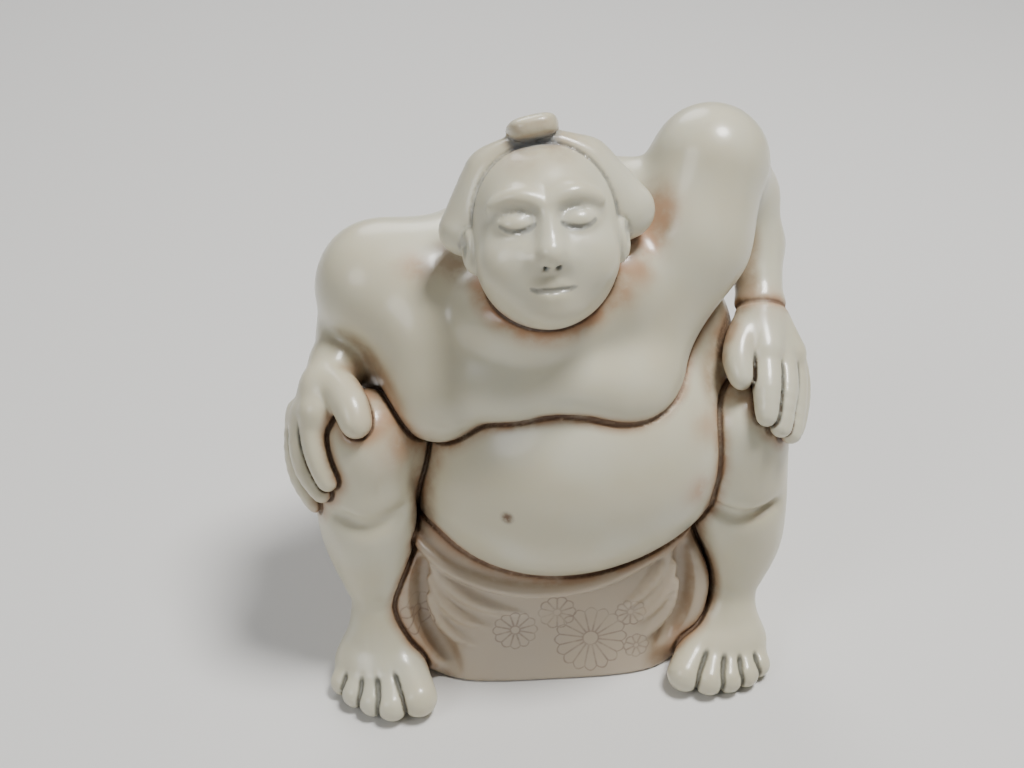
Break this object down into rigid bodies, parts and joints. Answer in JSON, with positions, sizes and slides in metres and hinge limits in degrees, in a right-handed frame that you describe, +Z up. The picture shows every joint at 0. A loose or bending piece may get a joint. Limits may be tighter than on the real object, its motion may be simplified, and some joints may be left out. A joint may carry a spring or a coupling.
{
  "type": "netsuke",
  "caption": "carved netsuke of a squatting wrestler, both hands on the knees, one shoulder raised, with a flat underside and two cord holes in the back",
  "frame": {"origin": "on the ground under the middle of the figure's overall box", "axes": "+Z up, the figure faces -Y, its raised left shoulder is at +X"},
  "size_m": [0.0434, 0.0317, 0.048],
  "materials": {
    "resin": "polished ivory-coloured cast resin, brown stain in the seams"
  },
  "bodies": {
    "root": {"netsuke": "resin"}
  },
  "joints": []
}
